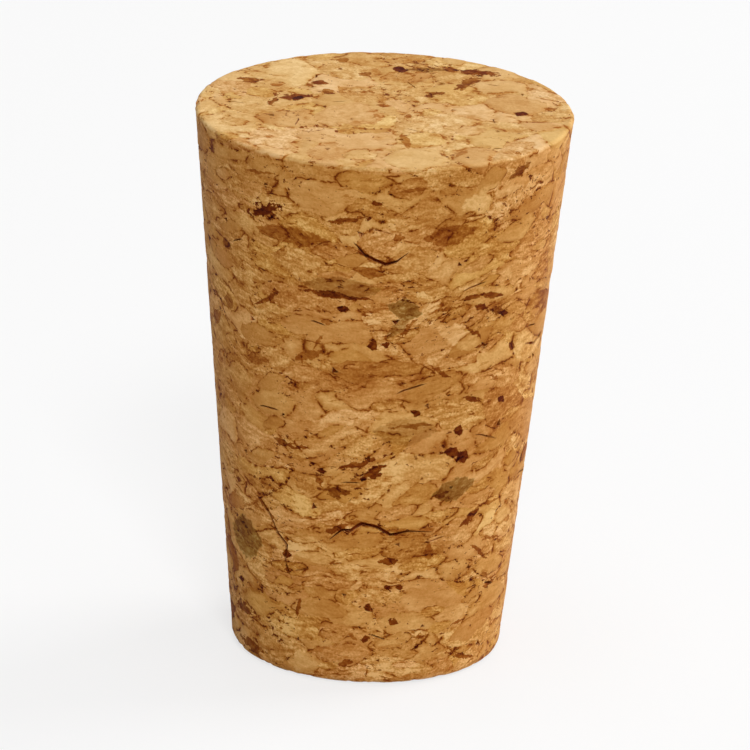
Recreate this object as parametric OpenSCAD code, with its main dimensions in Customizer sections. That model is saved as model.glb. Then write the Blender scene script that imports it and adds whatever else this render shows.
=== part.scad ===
// Tapered stopper of agglomerated cork, ground as one piece out of a block of pressed cork granules.
// It stands on its narrow end, the foot, with its axis along +Z and the origin in the middle of the foot.
// The granules were pressed flat along the axis, so most of the gaps left between them lie level.

/* [Body] */
// Diameter of the wide end, which stays above the mouth that the stopper closes
head_d = 24; // [18:0.5:40]
// Diameter of the narrow end, which goes in first
foot_d = 17.2; // [12:0.2:22]
// Length from end to end
length = 35.7; // [20:0.1:60]
// Radius of the worn edge round the wide end
head_arris = 0.25; // [0.1:0.05:1.5]
// Radius of the worn edge round the narrow end
foot_arris = 0.45; // [0.1:0.05:1.5]

/* [Clefts between granules] */
// Number of clefts in the flank
flank_clefts = 38; // [0:1:90]
// Number of clefts in each end face
end_clefts = 11; // [0:1:24]
// Length of the longest cleft
cleft_len = 2.2; // [1:0.1:5]
// Width of the widest cleft
cleft_gap = 0.18; // [0.1:0.02:0.6]
// Depth of the deepest cleft
cleft_depth = 0.35; // [0.2:0.05:1.2]
// Steepest tilt of a cleft in the flank, in degrees from level
cleft_tilt = 24; // [0:1:60]

/* [Cracks] */
// Width of a crack at its middle
crack_gap = 0.24; // [0.1:0.02:0.6]
// Depth of a crack
crack_depth = 0.45; // [0.2:0.05:1.5]

/* [Nooks where three granules meet] */
// Number of nooks in the flank
flank_nooks = 74; // [0:1:120]
// Number of nooks in each end face
end_nooks = 12; // [0:1:24]
// Size of the largest nook, from its middle to a corner
nook_size = 0.34; // [0.1:0.02:0.8]
// Depth of the deepest nook
nook_depth = 0.4; // [0.2:0.05:1.2]

/* [Crumbled edges] */
// Number of chips out of the edge round each end
edge_chips = 11; // [0:1:16]
// Length of the longest chip along the edge
chip_len = 1.4; // [0.4:0.1:3]
// Width of the widest chip, across the edge
chip_width = 0.7; // [0.2:0.05:1.5]
// Depth of the deepest chip, square to the edge
chip_bite = 0.24; // [0.1:0.02:0.5]

/* [Hidden] */
$fn = 180;
cork = [0.78, 0.58, 0.36];

// Turn from one gap to the next, which spreads any number of them evenly
golden_turn = 137.508;
// Share of its largest size that the smallest gap of a kind has
least = 0.45;
// How far a cutter reaches out past the surface that it cuts
reach = 1;
// Room between the gaps and the nearest edge
margin = 1.1;

// The three cracks of the front and four more round the back.
// Each is a chain of points, given as the turn about the axis and the share of the length.
cracks = [
    [[-105, 0.282], [-100.5, 0.302], [-97, 0.303], [-93, 0.318], [-87, 0.312], [-82, 0.297], [-75, 0.303], [-66, 0.298]],
    [[-98, 0.856], [-94.5, 0.834], [-91.5, 0.826], [-88, 0.818], [-84.5, 0.824], [-81, 0.84]],
    [[-136, 0.33], [-131.5, 0.304], [-128, 0.272], [-123.5, 0.254], [-124.5, 0.222], [-121.5, 0.19]],
    [[-28, 0.62], [-20, 0.607], [-13, 0.611], [-2, 0.63]],
    [[42, 0.24], [48, 0.266], [57, 0.264], [70, 0.255]],
    [[104, 0.74], [112, 0.711], [119, 0.709], [131, 0.71]],
    [[166, 0.46], [173, 0.481], [182, 0.478], [190, 0.49]]
];
// Width of a crack's two ends, as a share of its width at the middle
crack_end = 0.15;
// How far each length of a crack runs on past its points, as a share of its length
crack_lap = 0.08;

// Half of the taper's angle, and the flank's radius at height z
flank = atan((head_d - foot_d) / 2 / length);
function flank_r(z) = (foot_d + (head_d - foot_d) * z / length) / 2;

// The k-th random share of the i-th gap, from the least size up to 1 or over a given span
function share(i, k, from = least, to = 1) = rands(from, to, k, 1000 + i)[k - 1];

// Half section of the blank: a tapered outline with an arc at each arris
module section() {
    // From a corner to the points where its arc meets the end face and the flank
    head_run = head_arris / tan((90 - flank) / 2);
    foot_run = foot_arris / tan((90 + flank) / 2);
    polygon([
        [0, 0],
        [foot_d / 2 - foot_run, 0],
        [foot_d / 2 + foot_run * sin(flank), foot_run * cos(flank)],
        [head_d / 2 - head_run * sin(flank), length - head_run * cos(flank)],
        [head_d / 2 - head_run, length],
        [0, length]
    ]);
    translate([foot_d / 2 - foot_run, foot_arris]) circle(foot_arris);
    translate([head_d / 2 - head_run, length - head_arris]) circle(head_arris);
}

module blank() {
    rotate_extrude() section();
}

// Cutters. Each has its mouth in the XY plane and cuts down along -Z.

// A thin lens with a slight bow, such as two flat granules leave between them
module cleft(len, gap, depth) {
    translate([0, 0, -depth]) linear_extrude(depth + reach) polygon([
        [-len / 2, -gap * 0.5],
        [-len / 5, -gap * 0.3],
        [len / 5, -gap * 0.45],
        [len / 2, -gap * 0.2],
        [len / 4, gap * 0.4],
        [-len / 4, gap * 0.55]
    ]);
}

// One length of a crack, from one width to another
module slit(len, gap_a, gap_b, depth) {
    translate([0, 0, -depth]) linear_extrude(depth + reach) polygon([
        [-len / 2, -gap_a / 2],
        [-len / 6, -gap_a * 0.35 - gap_b * 0.05],
        [len / 2, -gap_b / 2],
        [len / 2, gap_b / 2],
        [len / 6, gap_a * 0.1 + gap_b * 0.5],
        [-len / 2, gap_a / 2]
    ]);
}

// An uneven three-cornered hole
module nook(size, depth, lop) {
    translate([0, 0, -depth]) linear_extrude(depth + reach) polygon([
        [-size * 0.8, -size * 0.45],
        [size, -size * lop],
        [size * lop * 0.5, size * 0.75]
    ]);
}

// A flat-bottomed crumb's place, with its length along Y and its width along X
module chip(len, width, bite) {
    translate([0, 0, -bite]) linear_extrude(bite + reach) polygon([
        [-width * 0.1, -len / 2],
        [width * 0.5, -len * 0.15],
        [width * 0.35, len * 0.3],
        [-width * 0.05, len / 2],
        [-width * 0.5, len * 0.1],
        [-width * 0.45, -len * 0.25]
    ]);
}

// Turns a cutter to the flank at a height, its mouth level with the flank and its X axis running round
module on_flank(turn, z) {
    rotate(turn) translate([flank_r(z), 0, z]) rotate([0, 90 - flank, 0]) rotate(90) children();
}

// Spreads count children over a round face of a radius, each with its own number
module on_face(count, radius, from) {
    for (i = [1 : 1 : count])
        rotate(golden_turn * i + from) translate([(radius - margin) * sqrt(i / (count + 1)), 0])
            rotate(share(i, 3, 0, 180)) {
                $gap = i;
                children();
            }
}

// One crack, cut length by length from point to point and widest in the middle
module crack(points) {
    last = len(points) - 1;
    function gap(i) = crack_gap * (crack_end + (1 - crack_end) * sin(180 * i / last));
    for (i = [1 : 1 : last]) {
        turn = (points[i - 1][0] + points[i][0]) / 2;
        z = length * (points[i - 1][1] + points[i][1]) / 2;
        around = flank_r(z) * (points[i][0] - points[i - 1][0]) * PI / 180;
        rise = length * (points[i][1] - points[i - 1][1]);
        on_flank(turn, z) rotate(atan2(rise, around))
            slit(norm([around, rise]) * (1 + crack_lap), gap(i - 1), gap(i), crack_depth);
    }
}

module flank_gaps() {
    for (points = cracks) crack(points);
    for (i = [1 : 1 : flank_clefts])
        on_flank(golden_turn * i, margin * 2 + (length - margin * 4) * (i - 0.5) / flank_clefts)
            rotate(share(i, 1, -cleft_tilt, cleft_tilt))
                cleft(cleft_len * share(i, 2), cleft_gap * share(i, 3), cleft_depth * share(i, 4));
    for (i = [1 : 1 : flank_nooks])
        on_flank(golden_turn * (i + 0.37), margin + (length - margin * 2) * (i - 0.5) / flank_nooks)
            rotate(share(i, 5, 0, 360))
                nook(nook_size * share(i, 6), nook_depth * share(i, 7), share(i, 8, 0.1, 0.6));
}

// The gaps of one end face, which lies in the XY plane with the cork below it
module face_gaps(radius, from) {
    on_face(end_clefts, radius, from)
        cleft(cleft_len * share($gap, 4) * 0.7, cleft_gap * share($gap, 5), cleft_depth * share($gap, 6));
    on_face(end_nooks, radius, from + 70)
        nook(nook_size * share($gap, 7), nook_depth * share($gap, 8), share($gap, 9, 0.1, 0.6));
}

// The chips round one arris, whose middle faces tip degrees up from level
module edge_gaps(radius, arris, tip, from) {
    for (i = [1 : 1 : edge_chips])
        rotate(360 * i / edge_chips + from + share(i, 9, -12, 12)) translate([radius, 0, 0])
            rotate([0, 90 - tip, 0]) translate([0, 0, -arris * 0.3])
                chip(chip_len * share(i, 10), chip_width * share(i, 12), chip_bite * share(i, 11));
}

module stopper() {
    color(cork) difference() {
        blank();
        flank_gaps();
        translate([0, 0, length]) face_gaps(head_d / 2, 20);
        mirror([0, 0, 1]) face_gaps(foot_d / 2, 95);
        translate([0, 0, length]) edge_gaps(head_d / 2, head_arris, 45, 8);
        edge_gaps(foot_d / 2, foot_arris, -45, 27);
    }
}

stopper();
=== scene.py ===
import math
import bpy
import numpy as np
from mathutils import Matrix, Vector


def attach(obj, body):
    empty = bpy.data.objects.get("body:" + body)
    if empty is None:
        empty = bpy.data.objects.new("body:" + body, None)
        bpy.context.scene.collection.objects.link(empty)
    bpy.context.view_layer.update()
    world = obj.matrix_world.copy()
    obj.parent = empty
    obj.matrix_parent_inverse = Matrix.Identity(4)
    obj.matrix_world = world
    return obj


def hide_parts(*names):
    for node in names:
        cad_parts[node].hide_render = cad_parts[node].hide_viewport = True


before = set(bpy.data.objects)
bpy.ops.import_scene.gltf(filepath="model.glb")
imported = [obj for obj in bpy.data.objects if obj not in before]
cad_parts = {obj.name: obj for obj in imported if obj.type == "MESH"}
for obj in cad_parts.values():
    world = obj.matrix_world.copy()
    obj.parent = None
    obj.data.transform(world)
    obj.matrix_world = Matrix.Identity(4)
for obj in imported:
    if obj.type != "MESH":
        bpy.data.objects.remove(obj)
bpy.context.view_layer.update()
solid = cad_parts["stopper"]
mm = 0.001
tiny = 1e-9   # keeps a divisor off zero
halfway = (0.5, 0.5, 0.5)   # the middle of a noise's colours


def feed(tree, socket, value):
    if isinstance(value, bpy.types.NodeSocket):
        tree.links.new(value, socket)
    else:
        socket.default_value = value


def addNode(tree, kind, values=None, **settings):
    made = tree.nodes.new(kind)
    for name, value in settings.items():
        setattr(made, name, value)
    for socket, value in (values or {}).items():
        feed(tree, made.inputs[socket], value)
    return made


def calc(tree, operation, *values):
    return addNode(tree, "ShaderNodeMath", dict(enumerate(values)), operation=operation).outputs[0]


def vector(tree, operation, *values):
    made = addNode(tree, "ShaderNodeVectorMath", dict(enumerate(values)), operation=operation)
    return made.outputs["Value" if operation in ("LENGTH", "DISTANCE", "DOT_PRODUCT") else "Vector"]


def scaled(tree, value, factor):
    made = addNode(tree, "ShaderNodeVectorMath", {0: value, "Scale": factor}, operation="SCALE")
    return made.outputs["Vector"]


def turned(tree, value, angles):
    return addNode(tree, "ShaderNodeVectorRotate", {"Vector": value, "Rotation": angles},
                   rotation_type="EULER_XYZ").outputs[0]


def spread(tree, value, low, high, toLow=0.0, toHigh=1.0, smooth=True):  # one span mapped to another
    made = addNode(tree, "ShaderNodeMapRange", {"Value": value, "From Min": low, "From Max": high,
                                                "To Min": toLow, "To Max": toHigh})
    made.interpolation_type = "SMOOTHSTEP" if smooth else "LINEAR"
    return made.outputs["Result"]


def parts(tree, value):  # the three numbers of a point or colour
    return addNode(tree, "ShaderNodeSeparateXYZ", {0: value}).outputs


def combined(tree, *values):
    return addNode(tree, "ShaderNodeCombineXYZ", dict(enumerate(values))).outputs[0]


def noiseNode(tree, point, scale, detail, rough):
    return addNode(tree, "ShaderNodeTexNoise", {"Vector": point, "Scale": scale, "Detail": detail,
                                                "Roughness": rough}, noise_dimensions="3D").outputs


def noise(tree, point, scale, detail=2.0, rough=0.5):
    return noiseNode(tree, point, scale, detail, rough)[0]


def wander(tree, point, scale, detail, rough, reach):  # a point moved about by a noise in each direction
    shift = vector(tree, "SUBTRACT", noiseNode(tree, point, scale, detail, rough)["Color"], halfway)
    return vector(tree, "ADD", point, vector(tree, "MULTIPLY", shift, reach))


def choose(tree, share, under, over):  # between two numbers
    return addNode(tree, "ShaderNodeMix", {0: share, 2: under, 3: over}, data_type="FLOAT").outputs[0]


def paint(tree, share, under, over):  # between two colours
    return addNode(tree, "ShaderNodeMix", {0: share, 6: under, 7: over}, data_type="RGBA").outputs[2]


def ramp(tree, value, stops, top=2.0):  # stops: a place from 0 to 1, and the number wanted there
    made = addNode(tree, "ShaderNodeValToRGB", {0: value})
    points = made.color_ramp.elements
    while len(points) < len(stops):
        points.new(1.0)
    for point, (place, level) in zip(points, stops):
        point.position, point.color = place, (level / top, level / top, level / top, 1.0)
    return calc(tree, "MULTIPLY", made.outputs["Color"], top)


def product(tree, *values):
    total = values[0]
    for value in values[1:]:
        total = calc(tree, "MULTIPLY", total, value)
    return total


def darkened(tree, value, share):  # a brightness, less a share of it
    return calc(tree, "MULTIPLY", value, calc(tree, "SUBTRACT", 1.0, share))


def newGroup(name, kind, inputs, outputs):  # inputs: name -> (socket type, default)
    tree = bpy.data.node_groups.new(name, kind)
    for label, (socketType, default) in inputs.items():
        made = tree.interface.new_socket(label, in_out="INPUT", socket_type=socketType)
        if default is not None:
            made.default_value = default
    for label, socketType in outputs.items():
        tree.interface.new_socket(label, in_out="OUTPUT", socket_type=socketType)
    return tree, tree.nodes.new("NodeGroupInput").outputs, tree.nodes.new("NodeGroupOutput").inputs


def useGroup(tree, group, values):
    kind = "ShaderNodeGroup" if tree.bl_idname == "ShaderNodeTree" else "GeometryNodeGroup"
    made = tree.nodes.new(kind)
    made.node_tree = group
    for label, value in values.items():
        feed(tree, made.inputs[label], value)
    return made.outputs


floatSocket, vectorSocket, colourSocket = "NodeSocketFloat", "NodeSocketVector", "NodeSocketColor"


# The granules are fields that both the shape and the finish read
flow = [   # noises: scale per mm, detail, roughness, and how far they move a point, in mm
    (0.085, 1.0, 0.5, (1.6, 1.6, 3.6)),      # how the pressed layers wander
    (0.42, 2.0, 0.5, (0.95, 0.95, 0.95)),    # curved borders
    (1.5, 4.0, 0.66, (0.42, 0.42, 0.42)),    # ragged borders
]
cellSockets = {
    "Point": (vectorSocket, None), "Turn": (vectorSocket, (0, 0, 0)), "Shift": (vectorSocket, (0, 0, 0)),
    "Length": (floatSocket, 1.0), "Thickness": (floatSocket, 1.0)}
packed = {"rim": 0.2}   # how far a border reaches in, in cells
loose = {   # how round the granules are, how far they stray, their sizes, and the blur of their edge and rim
    "power": 1.45, "stray": 0.85, "smallest": 0.7, "largest": 1.2, "blur": 0.01, "rim": 0.16}


def flowGroup(kind):
    tree, inputs, outputs = newGroup(
        "pressedFlow", kind, {"Point": (vectorSocket, None)}, {"Point": vectorSocket})
    point = scaled(tree, inputs["Point"], 1 / mm)
    for scale, detail, rough, reach in flow:
        point = wander(tree, point, scale, detail, rough, reach)
    feed(tree, outputs["Point"], point)
    return tree


def inCells(tree, inputs):  # a point measured in turned and flattened cells
    cell = combined(tree, inputs["Length"], inputs["Length"], inputs["Thickness"])
    place = vector(tree, "DIVIDE", turned(tree, inputs["Point"], inputs["Turn"]), cell)
    return vector(tree, "ADD", place, inputs["Shift"])


def flakeGroup(kind):  # loose lens-shaped granules, each whole, lying over others
    tree, inputs, outputs = newGroup(
        "flakeLayer", kind, {**cellSockets, "Reach": (floatSocket, 0.5), "Share": (floatSocket, 0.5)},
        {"Inside": floatSocket, "Rim": floatSocket, "Random": colourSocket})
    found = addNode(tree, "ShaderNodeTexVoronoi", {
        "Vector": inCells(tree, inputs), "Scale": 1.0,
        "Exponent": loose["power"], "Randomness": loose["stray"]},
        voronoi_dimensions="3D", feature="F1", distance="MINKOWSKI").outputs
    random = parts(tree, found["Color"])
    present = calc(tree, "LESS_THAN", random[0], inputs["Share"])
    size = spread(tree, random[1], 0, 1, loose["smallest"], loose["largest"], smooth=False)
    depth = calc(tree, "SUBTRACT", calc(tree, "MULTIPLY", inputs["Reach"], size), found["Distance"])
    inside = spread(tree, depth, -loose["blur"], loose["blur"])
    rim = spread(tree, calc(tree, "ABSOLUTE", depth), 0.0, loose["rim"], 1.0, 0.0)
    feed(tree, outputs["Inside"], calc(tree, "MULTIPLY", present, inside))
    feed(tree, outputs["Rim"], calc(tree, "MULTIPLY", present, rim))
    feed(tree, outputs["Random"], found["Color"])
    return tree


def cellGroup(kind):  # close-packed granules that fill all the space
    tree, inputs, outputs = newGroup(
        "packedCells", kind, cellSockets, {"Rim": floatSocket, "Random": colourSocket})
    place = inCells(tree, inputs)
    found, border = [addNode(tree, "ShaderNodeTexVoronoi", {"Vector": place, "Scale": 1.0},
                             voronoi_dimensions="3D", feature=feature).outputs
                     for feature in ("F1", "DISTANCE_TO_EDGE")]
    feed(tree, outputs["Rim"], spread(tree, border["Distance"], 0.0, packed["rim"], 1.0, 0.0))
    feed(tree, outputs["Random"], found["Color"])
    return tree


cells = {"Turn": (0.06, 0.05, 0.0), "Shift": (0.0, 0.0, 0.0), "Length": 3.8, "Thickness": 1.7}
layers = {   # the lowest first: turn in radians, shift and reach in cells, sizes in mm, and the share kept
    "broad": {"Turn": (0.10, -0.14, 0.3), "Shift": (7.3, 2.1, 5.5), "Length": 5.0, "Thickness": 2.2,
              "Reach": 0.62, "Share": 0.62},
    "middle": {"Turn": (-0.22, 0.16, 1.4), "Shift": (3.7, 9.2, 1.4), "Length": 4.3, "Thickness": 1.8,
               "Reach": 0.52, "Share": 0.5},
    "small": {"Turn": (0.2, 0.26, 2.5), "Shift": (1.9, 4.4, 8.8), "Length": 2.8, "Thickness": 1.1,
              "Reach": 0.5, "Share": 0.34},
}


def granuleGroup(kind, flakes):  # the whole agglomerate: which granule a point is in, and how near its border
    tree, inputs, outputs = newGroup("granules", kind, {"Point": (vectorSocket, None)}, {
        "Random": colourSocket, "Rim": floatSocket, "Flow": vectorSocket})
    point = useGroup(tree, flowGroup(kind), {"Point": inputs["Point"]})["Point"]
    lowest = useGroup(tree, cellGroup(kind), {"Point": point, **cells})
    random, rim = lowest["Random"], lowest["Rim"]
    for sizes in layers.values():
        flake = useGroup(tree, flakes, {"Point": point, **sizes})
        random = paint(tree, flake["Inside"], random, flake["Random"])
        rim = calc(tree, "MAXIMUM", darkened(tree, rim, flake["Inside"]), flake["Rim"])
    feed(tree, outputs["Random"], random)
    feed(tree, outputs["Rim"], rim)
    feed(tree, outputs["Flow"], point)
    return tree


taperRead = {"low": 0.1, "high": 0.9, "passes": 10, "near": 0.002 * mm}   # shares of the length, tries, reach


def readTaper(node):  # the flank's radius at the foot and its rise, from the solid's own corners
    place = np.array([v.co[:] for v in node.data.vertices])
    radius, height = np.hypot(place[:, 0], place[:, 1]), place[:, 2]
    length = height.max()
    flank = (height > taperRead["low"] * length) & (height < taperRead["high"] * length)
    for _ in range(taperRead["passes"]):   # drops the corners that lie in a cleft or a nook
        rise, foot = np.polyfit(height[flank], radius[flank], 1)
        flank &= radius > foot + rise * height - taperRead["near"]
    return foot, rise, length


skin = {
    "endCells": 96, "ringCells": 172,           # cells across an end, and up the flank
    "crowd": 0.4,                               # how much the cells crowd towards the edges
    "headArris": 0.30 * mm, "footArris": 0.5 * mm,
    "clear": 0.016 * mm,                        # how far the skin keeps inside the solid's facets
    "grooveDepth": 0.05 * mm, "grooveSharpness": 5.0, "proudHeight": 0.035 * mm,
    "waviness": 0.05 * mm, "waveScale": 0.35,   # scales are per mm
    "grit": 0.018 * mm, "gritScale": 3.2,
    "weld": 0.00001 * mm,                       # within this, corners of the solid are one
    "creaseAngle": 42,                          # in degrees: steeper edges stay sharp
}
print("reading the taper of the solid")
footRadius, flankRise, stopperLength = readTaper(solid)


def crowded(tree, value):  # from -1 to 1, closer together near both ends
    wave = calc(tree, "SINE", calc(tree, "MULTIPLY", value, math.pi / 2))
    straight = calc(tree, "MULTIPLY", value, 1 - skin["crowd"])
    return calc(tree, "MULTIPLY_ADD", wave, skin["crowd"], straight)


def roundOff(tree, inputs, radius, height, endHeight, towards, arris):  # pulls an end's corner on to an arc
    endRadius = calc(tree, "MULTIPLY_ADD", endHeight, inputs["Rise"], inputs["Foot Radius"])
    middleRadius = calc(tree, "SUBTRACT", endRadius, arris)
    middleHeight = calc(tree, "SUBTRACT", endHeight, towards * arris)
    out = calc(tree, "MAXIMUM", calc(tree, "SUBTRACT", radius, middleRadius), 0.0)
    up = calc(tree, "MULTIPLY", calc(tree, "SUBTRACT", height, middleHeight), towards)
    up = calc(tree, "MAXIMUM", up, 0.0)
    square = calc(tree, "ADD", calc(tree, "MULTIPLY", out, out), calc(tree, "MULTIPLY", up, up))
    reach = calc(tree, "SQRT", square)
    past = calc(tree, "GREATER_THAN", calc(tree, "MINIMUM", out, up), 0.0)
    pull = calc(tree, "DIVIDE", arris, calc(tree, "MAXIMUM", reach, tiny))
    newRadius = calc(tree, "MULTIPLY_ADD", out, pull, middleRadius)
    newHeight = calc(tree, "MULTIPLY_ADD", calc(tree, "MULTIPLY", up, pull), towards, middleHeight)
    return choose(tree, past, radius, newRadius), choose(tree, past, height, newHeight)


def skinTree():
    tree, inputs, outputs = newGroup("corkSkin", "GeometryNodeTree", {
        "Solid": ("NodeSocketObject", None), "Foot Radius": (floatSocket, 0.0), "Rise": (floatSocket, 0.0),
        "Length": (floatSocket, 0.0), "Groove Depth": (floatSocket, 0.0), "Proud Height": (floatSocket, 0.0),
        "Waviness": (floatSocket, 0.0), "Grit": (floatSocket, 0.0), "Cork": ("NodeSocketMaterial", None),
    }, {"Geometry": "NodeSocketGeometry"})
    block = addNode(tree, "GeometryNodeMeshCube", {
        "Size": (2.0, 2.0, 2.0), "Vertices X": skin["endCells"] + 1, "Vertices Y": skin["endCells"] + 1,
        "Vertices Z": skin["ringCells"] + 1}).outputs["Mesh"]
    x, y, z = parts(tree, addNode(tree, "GeometryNodeInputPosition").outputs[0])

    # A square ring of the block becomes a round one
    wide = calc(tree, "GREATER_THAN", calc(tree, "ABSOLUTE", x), calc(tree, "ABSOLUTE", y))
    major, minor = choose(tree, wide, y, x), choose(tree, wide, x, y)
    share = calc(tree, "DIVIDE", minor, calc(tree, "ADD", major, tiny))
    share = calc(tree, "MULTIPLY", share, math.pi / 4)
    angle = choose(tree, wide, calc(tree, "SUBTRACT", math.pi / 2, share), share)
    height = calc(tree, "MULTIPLY", inputs["Length"], calc(tree, "MULTIPLY_ADD", crowded(tree, z), 0.5, 0.5))
    edgeRadius = calc(tree, "MULTIPLY_ADD", height, inputs["Rise"], inputs["Foot Radius"])
    radius = calc(tree, "MULTIPLY", crowded(tree, calc(tree, "ABSOLUTE", major)), edgeRadius)

    # The worn edges
    radius, height = roundOff(tree, inputs, radius, height, inputs["Length"], 1.0, skin["headArris"])
    radius, height = roundOff(tree, inputs, radius, height, 0.0, -1.0, skin["footArris"])
    across = calc(tree, "MULTIPLY", calc(tree, "SIGN", major), radius)
    rounded = combined(tree, calc(tree, "MULTIPLY", across, calc(tree, "COSINE", angle)),
                       calc(tree, "MULTIPLY", across, calc(tree, "SINE", angle)), height)
    smooth = addNode(tree, "GeometryNodeSetPosition", {"Geometry": block, "Position": rounded}).outputs[0]

    # Relief, always inwards: sunk borders, granules a little proud or low, a gentle wave and fine grit
    point = addNode(tree, "GeometryNodeInputPosition").outputs[0]
    flakes = flakeGroup("GeometryNodeTree")
    grains = useGroup(tree, granuleGroup("GeometryNodeTree", flakes), {"Point": point})
    level = parts(tree, grains["Random"])[2]
    fine = scaled(tree, point, 1 / mm)
    groove = calc(tree, "POWER", grains["Rim"], skin["grooveSharpness"])
    sunk = calc(tree, "MULTIPLY", groove, inputs["Groove Depth"])
    sunk = calc(tree, "MULTIPLY_ADD", level, inputs["Proud Height"], sunk)
    sunk = calc(tree, "MULTIPLY_ADD", noise(tree, fine, skin["waveScale"], 1.0), inputs["Waviness"], sunk)
    sunk = calc(tree, "MULTIPLY_ADD", noise(tree, fine, skin["gritScale"]), inputs["Grit"], sunk)
    inwards = calc(tree, "MULTIPLY", calc(tree, "ADD", sunk, skin["clear"]), -1.0)
    push = scaled(tree, addNode(tree, "GeometryNodeInputNormal").outputs[0], inwards)
    rough = addNode(tree, "GeometryNodeSetPosition", {"Geometry": smooth, "Offset": push}).outputs[0]

    # The solid's own clefts, nooks and chips are cut through the skin
    body = addNode(tree, "GeometryNodeObjectInfo", {"Object": inputs["Solid"]}, transform_space="ORIGINAL")
    whole = addNode(tree, "GeometryNodeMergeByDistance", {
        0: body.outputs["Geometry"], "Distance": skin["weld"]}).outputs[0]
    cut = addNode(tree, "GeometryNodeMeshBoolean", operation="INTERSECT", solver="MANIFOLD")
    feed(tree, cut.inputs["Mesh 2"], rough)
    feed(tree, cut.inputs["Mesh 2"], whole)
    skinned = cut.outputs["Mesh"]

    # How deep a point lies below the smooth taper, in mm, for the finish to paint shade into the gaps
    x, y, z = parts(tree, addNode(tree, "GeometryNodeInputPosition").outputs[0])
    flankRadius = calc(tree, "MULTIPLY_ADD", z, inputs["Rise"], inputs["Foot Radius"])
    fromFlank = calc(tree, "SUBTRACT", flankRadius, vector(tree, "LENGTH", combined(tree, x, y)))
    fromHead = calc(tree, "SUBTRACT", inputs["Length"], z)
    depth = calc(tree, "MINIMUM", fromFlank, calc(tree, "MINIMUM", fromHead, z))
    stored = addNode(tree, "GeometryNodeStoreNamedAttribute", {
        "Geometry": skinned, "Name": "gapDepth", "Value": calc(tree, "DIVIDE", depth, mm)},
        data_type="FLOAT", domain="POINT").outputs[0]
    crease = addNode(tree, "GeometryNodeInputMeshEdgeAngle").outputs[0]
    soft = calc(tree, "LESS_THAN", crease, math.radians(skin["creaseAngle"]))
    shadedEdges = addNode(tree, "GeometryNodeSetShadeSmooth", {"Geometry": stored, "Shade Smooth": soft},
                          domain="EDGE").outputs[0]
    shaded = addNode(tree, "GeometryNodeSetShadeSmooth", {"Geometry": shadedEdges, "Shade Smooth": True},
                     domain="FACE").outputs[0]
    real = addNode(tree, "GeometryNodeRealizeInstances", {0: shaded}).outputs[0]
    feed(tree, outputs["Geometry"], addNode(tree, "GeometryNodeSetMaterial", {
        "Geometry": real, "Material": inputs["Cork"]}).outputs[0])
    return tree


def dressedBy(tree, values, name):  # the mesh that a tree makes, as a plain object
    holder = bpy.data.objects.new(name, bpy.data.meshes.new(name))
    bpy.context.scene.collection.objects.link(holder)
    modifier = holder.modifiers.new(name, "NODES")
    modifier.node_group = tree
    sockets = {item.name: item.identifier for item in tree.interface.items_tree
               if item.item_type == "SOCKET" and item.in_out == "INPUT"}
    for label, value in values.items():
        modifier[sockets[label]] = value
    seen = holder.evaluated_get(bpy.context.evaluated_depsgraph_get())
    plain = bpy.data.meshes.new_from_object(seen)
    holder.modifiers.remove(modifier)
    finish = plain.materials[plain.polygons[0].material_index]
    plain.materials.clear()
    plain.materials.append(finish)
    plain.polygons.foreach_set("material_index", np.zeros(len(plain.polygons), dtype=np.int32))
    holder.data = plain
    return holder


corkLook = {
    "colour": (0.690, 0.350, 0.098),
    "powers": (1.0, 1.75, 3.1),        # how much faster green and blue fall than red where cork is darker
    "brightest": 1.26,
    # the gaps' colour: partly painted shade, partly the bark inside them
    "gapShadeAndBark": (0.360, 0.060, 0.006),
    "amber": (1.0, 1.0, 0.84), "rose": (1.02, 0.985, 1.08),           # tints
    "olive": (1.0, 1.5, 2.4), "sanded": (1.0, 1.15, 1.45),
    "tones": [(0.00, 0.78), (0.06, 0.88), (0.25, 0.95),               # share of the granules, and brightness
              (0.55, 1.00), (0.80, 1.06), (1.00, 1.16)],
    "olivePick": 0.44, "oliveShare": 0.7,     # the random number of the few olive granules, and how olive
    "lean": 0.9,                              # how far a granule's streaks turn from the layers
    "haloPower": 1.5, "linePower": 24.0, "speckPower": 3.0,           # a higher one is a thinner border
    "speckPull": 0.07,                        # how much specks keep to the borders
    "endStart": 0.35, "endFull": 0.12,        # mm from an end, where the sanded look takes over
    "brownShare": 0.34,                       # how much darker a brown granule is
    "roughness": 0.78, "specular": 0.06, "sheen": 0.07, "sheenRoughness": 0.3,
    "poreStrength": 0.4, "poreDepth": 0.06 * mm,
}
textures = {   # stretch in three directions, scale per mm, detail and roughness of a noise
    "streak": ((0.5, 0.5, 1.9), 1.0, 5.0, 0.74),
    "layering": ((0.8, 0.8, 4.5), 1.0, 2.0, 0.5),
    "mottle": ((1.0, 1.0, 1.7), 2.1, 4.0, 0.72),
    "grain": ((1.0, 1.0, 1.0), 7.0, 2.0, 0.6),
    "patch": ((1.0, 1.0, 1.0), 0.23, 2.0, 0.5),
    "cloud": ((1.0, 1.0, 1.8), 0.55, 2.0, 0.5),
    "drift": ((1.0, 1.0, 1.0), 0.45, 2.0, 0.5),
    "stroke": ((0.9, 0.9, 3.4), 1.15, 4.0, 0.66),
    "border": ((1.0, 1.0, 1.0), 1.15, 3.0, 0.65),
    "cluster": ((1.0, 1.0, 1.0), 0.26, 1.0, 0.5),
    "speck": ((1.0, 1.0, 1.9), 2.4, 4.0, 0.7),
    "broken": ((1.0, 1.0, 1.5), 2.2, 3.0, 0.65),
    "uneven": ((1.0, 1.0, 2.2), 1.7, 4.0, 0.7),
    "pores": ((1.0, 1.0, 1.0), 6.0, 3.0, 0.6),
}
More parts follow.
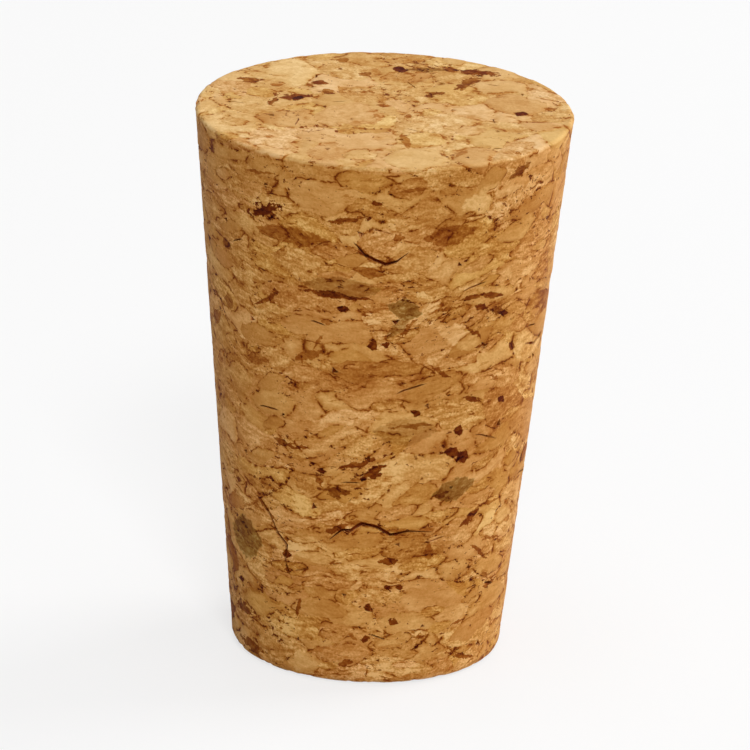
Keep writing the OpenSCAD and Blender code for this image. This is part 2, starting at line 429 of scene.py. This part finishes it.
levels = {   # the span of a value that is read, and what stands at its two ends
    "streak": (0.36, 0.64, 0.88, 1.09), "layering": (0.34, 0.66, 0.88, 1.10),
    "mottle": (0.34, 0.66, 0.86, 1.10), "grain": (0.3, 0.7, 0.86, 1.13),
    "patch": (0.34, 0.66, 0.92, 1.07), "cloud": (0.34, 0.66, 0.93, 1.06),
    "strokeShare": (0.0, 1.0, 0.10, 0.46), "speckLimit": (0.0, 1.0, 0.680, 0.608),
    "endPower": (0.0, 1.0, 1.0, 0.66), "endLift": (0.0, 1.0, 1.0, 1.09), "uneven": (0.36, 0.64, 0.66, 1.40),
}
masks = {   # the same, with soft ends: from 0 to 1 where nothing else is given
    "amber": (0.34, 0.0, 0.0, 0.8), "rose": (0.60, 0.90, 0.0, 0.8), "olive": (0.004, 0.003),
    "drift": (0.40, 0.62), "stroke": (0.575, 0.645), "coarse": (0.25, 0.8, 0.45, 1.45),
    "halo": (0.36, 0.62, 0.02, 0.21), "line": (0.48, 0.60, 0.0, 0.68),
    "cluster": (0.46, 0.68), "bark": (0.0, 0.03), "broken": (0.42, 0.58), "behind": (-5.5, -3.0),
    "brownGranule": (0.045, 0.035), "sanded": (0.45, 0.95), "gap": (0.16, 0.4, 0.0, 0.95),
}
markShades = {   # brightness, and how olive
    "bark": (0.21, 0.0), "dark": (0.40, 0.25), "brown": (0.56, 0.0), "line": (0.38, 0.0),
    "dusk": (0.66, 0.35), "olive": (0.50, 1.0), "amber": (0.90, 0.0), "pale": (1.26, 0.0)}
markEdge = {
    "scale": 1.3, "detail": 5.0, "rough": 0.68, "reach": (0.9, 0.9, 0.9),   # the noise that makes it ragged
    "depth": 1.6, "blur": 0.16,                          # in mm, and as a share of the mark
    "long": 0.6, "breaking": 0.1, "longBreaking": 0.5,   # bark past this half length in mm breaks up more
}
chips = {"Turn": (0.15, 0.1, 0.6), "Shift": (2.2, 5.1, 3.3), "Length": 2.6, "Thickness": 1.7,
         "Reach": 0.17, "Share": 0.6}
chipTones = (0.35, 0.45, markShades["brown"][0], markShades["bark"][0])   # some are brown and some are bark

# Degrees round from the front, height, half length and half height in mm, tilt in degrees, and strength
flankMarks = [
    ("bark", -39, 31.7, 1.9, 0.68, 24, 1.0), ("brown", -29.5, 30.4, 3.0, 0.70, 2, 0.95),
    ("line", -40, 34.15, 1.6, 0.12, 4, 0.6), ("dark", 46.5, 34.6, 1.1, 0.44, 20, 1.0),
    ("line", -10, 32.05, 1.6, 0.18, 16, 0.9), ("bark", -1.5, 33.3, 0.35, 0.24, 0, 0.8),
    ("line", 10, 34.2, 1.0, 0.16, 12, 0.6), ("brown", 22.5, 31.05, 2.0, 0.80, 8, 1.0),
    ("brown", 6, 30.95, 0.42, 0.26, 0, 1.0), ("brown", -33, 29.15, 0.5, 0.25, 20, 0.7),
    ("brown", -3, 28.6, 1.2, 0.40, -8, 1.0), ("dusk", -12, 27.4, 2.8, 0.80, 0, 1.0),
    # The dark marks at -59 and -59.5 degrees, 28.3 and 24.4 mm up, are painted shade on the far left edge
    ("line", -13.5, 26.85, 2.6, 0.24, -2, 1.0), ("dark", -59, 28.3, 0.55, 0.38, 0, 0.7),
    ("dark", -59.5, 24.4, 0.6, 0.55, 0, 0.7), ("bark", -11, 26.0, 0.34, 0.30, 0, 1.0),
    ("olive", 9, 26.1, 1.15, 0.78, -15, 1.0), ("olive", 7.5, 25.0, 1.3, 0.45, 48, 0.55),
    ("line", 10.5, 24.9, 0.9, 0.14, 48, 0.8), ("line", 23, 25.95, 1.3, 0.15, 5, 0.7),
    ("bark", 36.5, 25.8, 0.6, 0.20, -14, 0.9), ("dark", 43, 25.35, 1.2, 0.30, -14, 1.0),
    ("bark", 46.5, 24.95, 0.55, 0.26, -20, 1.0), ("line", 32.5, 26.6, 1.1, 0.20, 8, 1.0),
    ("line", 40.5, 26.45, 1.1, 0.24, -14, 1.0), ("brown", -16, 25.0, 0.6, 0.16, 0, 0.8),
    ("pale", 29.5, 23.9, 2.1, 0.85, -28, 1.0), ("line", 34, 24.2, 1.0, 0.17, -35, 0.9),
    ("bark", -35.5, 26.3, 0.32, 0.20, 0, 0.75), ("line", -40, 25.6, 1.3, 0.20, 35, 1.0),
    ("bark", -1, 23.6, 0.36, 0.38, 0, 1.0), ("brown", -23, 22.5, 1.3, 0.34, 22, 1.0),
    ("line", -20, 23.5, 0.7, 0.14, 60, 0.7), ("line", 22.5, 21.75, 1.2, 0.14, -33, 0.8),
    ("line", 38, 23.1, 0.6, 0.17, 0, 1.0), ("line", 53.5, 22.4, 0.5, 0.22, -45, 1.0),
    ("amber", -12, 21, 2.8, 1.3, 0, 0.9), ("line", -6.5, 20.6, 1.2, 0.13, 32, 0.4),
    ("brown", -46, 21.3, 1.3, 0.50, 5, 0.85), ("bark", 50.5, 18.9, 0.52, 0.26, -40, 1.0),
    ("line", 36, 19.5, 0.8, 0.18, -20, 1.0), ("brown", 49, 17.05, 0.4, 0.30, 60, 0.8),
    ("bark", 15, 19, 0.46, 0.28, -20, 1.0), ("dusk", 11, 17.7, 2.3, 1.1, 0, 0.65),
    ("line", 13.5, 18.1, 1.6, 0.18, 0, 0.7), ("bark", 32, 17.4, 0.40, 0.36, 0, 1.0),
    ("bark", 30, 16.0, 0.6, 0.38, -8, 1.0), ("bark", 34.5, 15.6, 0.6, 0.50, -22, 1.0),
    ("dark", -35, 16.15, 0.6, 0.34, -8, 1.0), ("line", -29, 16.05, 1.2, 0.18, 8, 0.95),
    ("brown", -55, 17.1, 0.45, 0.20, 10, 0.5), ("line", -5.5, 15.4, 1.5, 0.20, 22, 1.0),
    ("bark", 0.5, 14.9, 1.1, 0.50, 35, 1.0), ("bark", -18, 14.7, 0.36, 0.28, 0, 1.0),
    ("line", -19, 14.0, 0.5, 0.18, -65, 0.9), ("dark", -12.5, 13.4, 1.3, 0.54, -4, 1.0),
    ("olive", 32.5, 13.4, 1.8, 0.85, 12, 1.0), ("line", 26.5, 13.1, 0.8, 0.20, 15, 0.9),
    ("olive", -57, 8.5, 1.9, 1.6, 0, 1.0), ("line", -43.5, 11.2, 1.3, 0.19, -38, 0.95),
    ("line", -52, 11.1, 1.2, 0.12, 30, 0.6), ("pale", -42, 10.9, 1.2, 0.75, 0, 0.4),
    ("bark", -33.3, 9.5, 0.28, 0.28, 20, 0.8), ("bark", -33.8, 8.4, 0.38, 0.38, 0, 1.0),
    ("bark", -33.3, 7.4, 0.28, 0.22, 10, 0.8), ("bark", 43, 11.4, 0.55, 0.26, 20, 0.9),
    ("line", 7.8, 8.75, 0.75, 0.24, 0, 1.0), ("pale", 56, 10.3, 2.8, 1.15, -8, 0.9),
    ("line", 51, 11.75, 1.5, 0.12, 2, 0.7), ("pale", 8.5, 8.1, 0.9, 0.5, 0, 0.4),
    ("brown", 24, 9.3, 0.35, 0.7, 0, 0.9), ("bark", 8.5, 6.9, 0.26, 0.24, 0, 0.9),
    ("bark", 12.8, 6.8, 0.26, 0.26, 0, 0.9), ("line", 54, 6.6, 0.6, 0.15, -30, 0.65),
    ("bark", 1, 5.4, 0.30, 0.27, -15, 0.9), ("bark", 11, 4.5, 0.36, 0.28, -25, 0.9),
    ("line", -28.5, 4.9, 0.8, 0.2, 78, 0.9), ("bark", 0.5, 3.3, 0.33, 0.28, 0, 0.9),
    ("brown", -53, 5.2, 1.0, 0.45, 0, 0.5), ("bark", -8, 1.5, 0.55, 0.28, 25, 0.7),
    ("bark", -17, 1.5, 0.30, 0.22, 0, 0.25), ("dark", -57, 1.0, 1.8, 0.6, 0, 1.0),
    ("line", -5.2, 29.9, 0.85, 0.20, -42, 0.9), ("line", 1.5, 29.35, 1.1, 0.20, 0, 0.7),
    ("line", -12.5, 10.8, 1.0, 0.24, 28, 0.9), ("line", -4, 11.35, 1.1, 0.20, -4, 0.6),
    ("line", 6.5, 11.05, 1.5, 0.18, -6, 0.45), ("line", 22, 10.8, 2.4, 0.14, 0, 0.35),
    ("line", 40.5, 11.0, 0.9, 0.28, 28, 1.0), ("pale", 38, 32.8, 3.0, 1.6, 0, 1.0),
    ("pale", -20, 9.1, 2.6, 0.95, -3, 0.75), ("pale", 9, 1.2, 2.8, 0.85, 0, 1.0),
    ("pale", -25, 1.1, 1.8, 0.9, 0, 1.0), ("pale", 55, 33.2, 1.3, 0.7, 0, 1.0),
    ("amber", -13, 4.7, 3.0, 1.1, 0, 1.0), ("brown", -5, 3.4, 0.45, 0.18, -8, 0.9),
    ("line", 22, 3.3, 0.5, 0.17, 0, 0.9), ("line", 40.5, 3.9, 0.7, 0.17, 12, 0.8),
    ("line", 44.5, 1.35, 1.6, 0.18, -18, 0.9), ("line", 57.5, 5.8, 0.8, 0.20, 0, 1.0),
    ("dark", -62, 3.3, 1.6, 0.55, 5, 1.0), ("bark", -62.5, 5.3, 0.45, 0.24, 10, 1.0),
    ("bark", -60, 12.3, 0.45, 0.18, 8, 0.8), ("brown", -46.5, 11.8, 0.28, 0.22, 0, 0.6),
    ("line", 48.5, 8.5, 1.4, 0.18, -38, 0.9), ("line", 56, 9.1, 1.2, 0.14, -8, 0.7),
    ("bark", 3.3, 23.75, 0.30, 0.22, 0, 1.0), ("bark", -1, 21.65, 0.30, 0.14, 0, 0.6),
]
# The same for the wide end, with x and y in mm for the place
headMarks = [
    ("amber", -8.2, -2.2, 3.0, 2.0, 80, 1.0), ("brown", 2.0, 7.4, 4.2, 2.2, 0, 0.36),
    ("bark", -5.7, 1.9, 1.8, 0.95, 25, 0.85), ("bark", -5.5, 1.6, 0.6, 0.50, 60, 1.0),
    ("dark", -7.0, 1.0, 1.2, 0.40, 80, 1.0), ("bark", -4.1, 4.9, 0.6, 0.62, 80, 0.9),
    ("dark", -3.6, 3.2, 0.60, 0.45, -50, 0.9), ("dark", -8.6, 5.2, 1.0, 0.70, 10, 1.0),
    ("brown", -6.9, 4.2, 0.5, 0.35, 0, 0.9), ("bark", 0.9, 8.3, 0.6, 0.80, 0, 1.0),
    ("olive", 2.6, 8.5, 1.6, 0.50, 5, 0.8), ("bark", 5.9, 8.2, 1.9, 0.85, -15, 0.9),
    ("bark", 4.1, 8.7, 0.5, 0.6, 0, 0.65), ("dark", 5.2, 6.0, 2.3, 0.65, 67, 1.0),
    ("dark", 3.1, 3.4, 1.1, 0.50, 42, 1.0), ("dark", -1.4, 7.1, 0.6, 0.45, 50, 0.9),
    ("dark", -2.8, 9.9, 0.5, 0.5, 0, 0.6), ("bark", 8.6, 0.1, 0.6, 0.46, 72, 1.0),
    ("brown", 1.5, -1.2, 0.6, 0.30, 70, 1.0), ("brown", 1.3, -6.1, 1.8, 0.34, -80, 0.8),
    ("brown", -0.1, 0.8, 0.6, 0.4, 0, 1.0), ("brown", 4.8, -8.3, 0.9, 0.3, 65, 0.55),
    ("pale", 3.5, -4.0, 3.8, 2.3, 60, 0.35),
]


def markGroup():  # how far a point is inside one granule, a lens with two pointed ends
    tree, inputs, outputs = newGroup("chosenGranule", "ShaderNodeTree", {
        "Point": (vectorSocket, None), "Broken": (floatSocket, 0.0), "Centre": (vectorSocket, (0, 0, 0)),
        "Along": (vectorSocket, (1, 0, 0)), "Out": (vectorSocket, (0, 1, 0)), "Up": (vectorSocket, (0, 0, 1)),
        "Strength": (floatSocket, 1.0), "Breaking": (floatSocket, 0.0),
    }, {"Share": floatSocket})
    away = vector(tree, "SUBTRACT", inputs["Point"], inputs["Centre"])
    along, out, up = [vector(tree, "DOT_PRODUCT", away, inputs[name]) for name in ("Along", "Out", "Up")]
    body = calc(tree, "MULTIPLY_ADD", along, along, calc(tree, "MULTIPLY", out, out))
    fill = calc(tree, "SUBTRACT", 1.0, calc(tree, "ADD", body, calc(tree, "ABSOLUTE", up)))
    fill = calc(tree, "SUBTRACT", fill, calc(tree, "MULTIPLY", inputs["Broken"], inputs["Breaking"]))
    share = calc(tree, "MULTIPLY", spread(tree, fill, 0.0, markEdge["blur"]), inputs["Strength"])
    feed(tree, outputs["Share"], share)
    return tree


def placedMarks():  # each mark's kind, strength, half length, and what its group takes
    for kind, azimuth, height, halfLength, halfHeight, tilt, strength in flankMarks:
        turn, rise = math.radians(azimuth), math.radians(tilt)
        radius = (footRadius + flankRise * height * mm) / mm
        side, up = np.array([math.cos(turn), math.sin(turn), 0.0]), np.array([0.0, 0.0, 1.0])
        out = np.array([math.sin(turn), -math.cos(turn), 0.0])
        yield kind, strength, halfLength, {
            "Centre": (*(radius * out)[:2], height),
            "Along": (math.cos(rise) * side + math.sin(rise) * up) / halfLength,
            "Out": out / markEdge["depth"],
            "Up": (math.cos(rise) * up - math.sin(rise) * side) / halfHeight}
    for kind, x, y, halfLength, halfHeight, tilt, strength in headMarks:
        rise = math.radians(tilt)
        yield kind, strength, halfLength, {
            "Centre": (x, y, stopperLength / mm),
            "Along": np.array([math.cos(rise), math.sin(rise), 0.0]) / halfLength,
            "Out": np.array([0.0, 0.0, 1.0]) / markEdge["depth"],
            "Up": np.array([-math.sin(rise), math.cos(rise), 0.0]) / halfHeight}


def corkMaterial():
    material = bpy.data.materials.new("pressedCork")
    material.use_nodes = True
    tree = material.node_tree
    tree.nodes.clear()
    point = addNode(tree, "ShaderNodeTexCoord").outputs["Object"]
    flakes = flakeGroup("ShaderNodeTree")
    grains = useGroup(tree, granuleGroup("ShaderNodeTree", flakes), {"Point": point})
    random, layered = parts(tree, grains["Random"]), grains["Flow"]
    fine = scaled(tree, point, 1 / mm)
    depthways, height = parts(tree, fine)[1:3]
    white = (1.0, 1.0, 1.0, 1.0)

    def texture(field, name):
        stretch, scale, detail, rough = textures[name]
        return noise(tree, vector(tree, "MULTIPLY", field, stretch), scale, detail, rough)

    def level(value, name):
        return spread(tree, value, *levels[name], smooth=False)

    def mask(value, name):
        return spread(tree, value, *masks[name])

    # A granule's own hue
    hue = paint(tree, mask(random[1], "amber"), white, (*corkLook["amber"], 1))
    hue = paint(tree, mask(random[1], "rose"), hue, (*corkLook["rose"], 1))
    pick = calc(tree, "ABSOLUTE", calc(tree, "SUBTRACT", random[1], corkLook["olivePick"]))
    olive = calc(tree, "MULTIPLY", mask(pick, "olive"), corkLook["oliveShare"])

    # Its streaks, each granule its own way round, over the layers, finer mottling and the cells' grain
    angles = scaled(tree, vector(tree, "SUBTRACT", grains["Random"], halfway), corkLook["lean"])
    along = turned(tree, layered, angles)
    grain = product(
        tree, level(texture(along, "streak"), "streak"), level(texture(layered, "layering"), "layering"),
        level(texture(fine, "mottle"), "mottle"), level(texture(fine, "grain"), "grain"))

    # Short dark strokes that lie with the layers, in drifts
    share = level(mask(texture(fine, "drift"), "drift"), "strokeShare")
    stroke = mask(texture(layered, "stroke"), "stroke")
    grain = darkened(tree, grain, calc(tree, "MULTIPLY", stroke, share))

    # Some granules are smooth and some are coarse
    coarse = mask(random[2], "coarse")
    shade = product(
        tree, ramp(tree, random[0], corkLook["tones"]), calc(tree, "POWER", grain, coarse),
        level(texture(fine, "patch"), "patch"), level(texture(layered, "cloud"), "cloud"))

    # Borders come and go: a soft darker edge, and here and there a thin line along it
    where = texture(fine, "border")
    for name in ("halo", "line"):
        edge = calc(tree, "POWER", grains["Rim"], corkLook[name + "Power"])
        shade = darkened(tree, shade, calc(tree, "MULTIPLY", edge, mask(where, name)))

    # Bark specks, small and in clusters, mostly where granules meet
    near = calc(tree, "POWER", grains["Rim"], corkLook["speckPower"])
    speck = calc(tree, "MULTIPLY_ADD", near, corkLook["speckPull"], texture(layered, "speck"))
    limit = level(mask(texture(fine, "cluster"), "cluster"), "speckLimit")
    bark = mask(calc(tree, "SUBTRACT", speck, limit), "bark")
    shade = darkened(tree, shade, calc(tree, "MULTIPLY", bark, 1 - markShades["bark"][0]))
    shade = darkened(tree, shade, calc(tree, "MULTIPLY", olive, 1 - markShades["olive"][0]))

    # The sanded ends are calmer and paler
    length, start, full = stopperLength / mm, corkLook["endStart"], corkLook["endFull"]
    head = spread(tree, height, length - start, length - full)
    atEnd = calc(tree, "MAXIMUM", head, spread(tree, height, start, full))
    shade = calc(tree, "POWER", shade, level(atEnd, "endPower"))
    shade = calc(tree, "MULTIPLY", shade, level(atEnd, "endLift"))

    # Bark chips and brown granules round the back, where no mark is listed
    ragged = wander(tree, fine, markEdge["scale"], markEdge["detail"], markEdge["rough"], markEdge["reach"])
    free = darkened(tree, mask(depthways, "behind"), head)
    chip = useGroup(tree, flakes, {"Point": ragged, **chips})
    chipTone = spread(tree, parts(tree, chip["Random"])[2], *chipTones)
    chipShare = product(tree, chip["Inside"], free, calc(tree, "SUBTRACT", 1.0, chipTone))
    brown = product(tree, mask(random[0], "brownGranule"), free, corkLook["brownShare"])
    marked = darkened(tree, calc(tree, "SUBTRACT", 1.0, chipShare), brown)

    # The granules that stand out on this stopper, as uneven inside as the others, and two dark marks on the
    # far left edge that are painted shade
    broken = mask(texture(fine, "broken"), "broken")
    uneven = level(texture(along, "uneven"), "uneven")
    markNodes = markGroup()
    for kind, strength, halfLength, shape in placedMarks():
        brightness, green = markShades[kind]
        isLong = kind in ("bark", "dark") and halfLength > markEdge["long"]
        inside = useGroup(tree, markNodes, {
            "Point": ragged, "Broken": broken, "Strength": strength,
            "Breaking": markEdge["longBreaking" if isLong else "breaking"], **shape})["Share"]
        marked = darkened(tree, marked, calc(tree, "MULTIPLY", inside, 1 - brightness))
        if green:
            olive = calc(tree, "MAXIMUM", olive, calc(tree, "MULTIPLY", inside, green))
    shade = calc(tree, "MULTIPLY", shade, calc(tree, "POWER", marked, uneven))

    # Cork that is darker is also redder
    shade = calc(tree, "MINIMUM", shade, corkLook["brightest"])
    falls = combined(tree, *[calc(tree, "POWER", shade, power) for power in corkLook["powers"]])
    colour = vector(tree, "MULTIPLY", vector(tree, "MULTIPLY", falls, corkLook["colour"]), hue)
    colour = vector(tree, "MULTIPLY", colour, paint(tree, olive, white, (*corkLook["olive"], 1)))
    sanded = calc(tree, "MULTIPLY", atEnd, mask(shade, "sanded"))
    colour = vector(tree, "MULTIPLY", colour, paint(tree, sanded, white, (*corkLook["sanded"], 1)))

    # Painted shade: gaps darken with their depth, towards a dark red-brown that stands both for the shade in
    # them and for the bark inside them
    gap = addNode(tree, "ShaderNodeAttribute", attribute_name="gapDepth").outputs["Fac"]
    colour = paint(tree, mask(gap, "gap"), colour, (*corkLook["gapShadeAndBark"], 1))

    bump = addNode(tree, "ShaderNodeBump", {
        "Height": texture(fine, "pores"), "Strength": corkLook["poreStrength"],
        "Distance": corkLook["poreDepth"]})
    shader = addNode(tree, "ShaderNodeBsdfPrincipled", {
        "Base Color": colour, "Roughness": corkLook["roughness"], "Normal": bump.outputs[0],
        "Specular IOR Level": corkLook["specular"], "Sheen Weight": corkLook["sheen"],
        "Sheen Roughness": corkLook["sheenRoughness"]})
    feed(tree, addNode(tree, "ShaderNodeOutputMaterial").inputs[0], shader.outputs[0])
    return material


print("making the finish")
cork = corkMaterial()
print("making the skin")
stopper = dressedBy(skinTree(), {
    "Solid": solid, "Foot Radius": footRadius, "Rise": flankRise, "Length": stopperLength,
    "Groove Depth": skin["grooveDepth"], "Proud Height": skin["proudHeight"], "Waviness": skin["waviness"],
    "Grit": skin["grit"], "Cork": cork}, "corkStopper")
print("skin faces:", len(stopper.data.polygons))
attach(stopper, "root")
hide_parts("stopper")


studio = {
    "floorSize": 4.0, "floorWhite": 0.86,
    "floorGlow": 0.72,    # how much of the floor that the camera sees is plain white
    "worldLight": 0.08,
    "distance": 0.596, "elevation": 19.7, "roll": 2.1, "lens": 450, "sensor": 36,   # of the camera
}
lamps = {   # degrees to the right of the camera and up, metres away and across, and watts
    "key": (8, 42, 1.6, 0.35, 11.0),
    "side": (118, 25, 0.6, 0.35, 2.6),
    "top": (0, 88, 0.6, 0.35, 1.35),
    "back": (180, 25, 1.6, 0.35, 1.6),
}
middle = np.array([0.0, 0.0, stopperLength / 2])
plainWhite = {"Color": (1, 1, 1, 1), "Strength": 1.0}


def makeFloor():
    bpy.ops.mesh.primitive_plane_add(size=studio["floorSize"])
    floor = bpy.context.object
    floor.name = "floor"
    material = bpy.data.materials.new("paleSweep")
    material.use_nodes = True
    tree = material.node_tree
    tree.nodes.clear()
    matt = addNode(tree, "ShaderNodeBsdfDiffuse", {"Color": (studio["floorWhite"],) * 3 + (1,)})
    glow = addNode(tree, "ShaderNodeEmission", plainWhite)
    seen = addNode(tree, "ShaderNodeLightPath").outputs["Is Camera Ray"]
    share = calc(tree, "MULTIPLY", seen, studio["floorGlow"])
    mixed = addNode(tree, "ShaderNodeMixShader", {0: share, 1: matt.outputs[0], 2: glow.outputs[0]})
    feed(tree, addNode(tree, "ShaderNodeOutputMaterial").inputs[0], mixed.outputs[0])
    floor.data.materials.append(material)


def makeWorld():
    world = bpy.data.worlds.new("studioAir")
    bpy.context.scene.world = world
    world.use_nodes = True
    tree = world.node_tree
    tree.nodes.clear()
    light = addNode(tree, "ShaderNodeBackground", {**plainWhite, "Strength": studio["worldLight"]})
    backdrop = addNode(tree, "ShaderNodeBackground", plainWhite)
    seen = addNode(tree, "ShaderNodeLightPath").outputs["Is Camera Ray"]
    mixed = addNode(tree, "ShaderNodeMixShader", {0: seen, 1: light.outputs[0], 2: backdrop.outputs[0]})
    feed(tree, addNode(tree, "ShaderNodeOutputWorld").inputs[0], mixed.outputs[0])


def standAt(piece, azimuth, elevation, distance):  # looks at the stopper's middle
    turn, rise = math.radians(azimuth), math.radians(elevation)
    away = np.array([math.sin(turn) * math.cos(rise), -math.cos(turn) * math.cos(rise), math.sin(rise)])
    piece.location = middle + away * distance
    piece.rotation_euler = Vector(away).to_track_quat("Z", "Y").to_euler()
    bpy.context.scene.collection.objects.link(piece)


def makeLamps():
    for name, (azimuth, elevation, distance, size, watts) in lamps.items():
        data = bpy.data.lights.new(name, "AREA")
        data.size, data.energy = size, watts
        standAt(bpy.data.objects.new(name, data), azimuth, elevation, distance)


def makeCamera():
    data = bpy.data.cameras.new("camera")
    data.lens, data.sensor_width = studio["lens"], studio["sensor"]
    camera = bpy.data.objects.new("camera", data)
    standAt(camera, 0, studio["elevation"], studio["distance"])
    camera.rotation_euler.rotate_axis("Z", math.radians(studio["roll"]))
    bpy.context.scene.camera = camera


print("setting up the studio")
makeCamera()
makeFloor()
makeWorld()
makeLamps()
bpy.context.scene.view_settings.view_transform = "Standard"
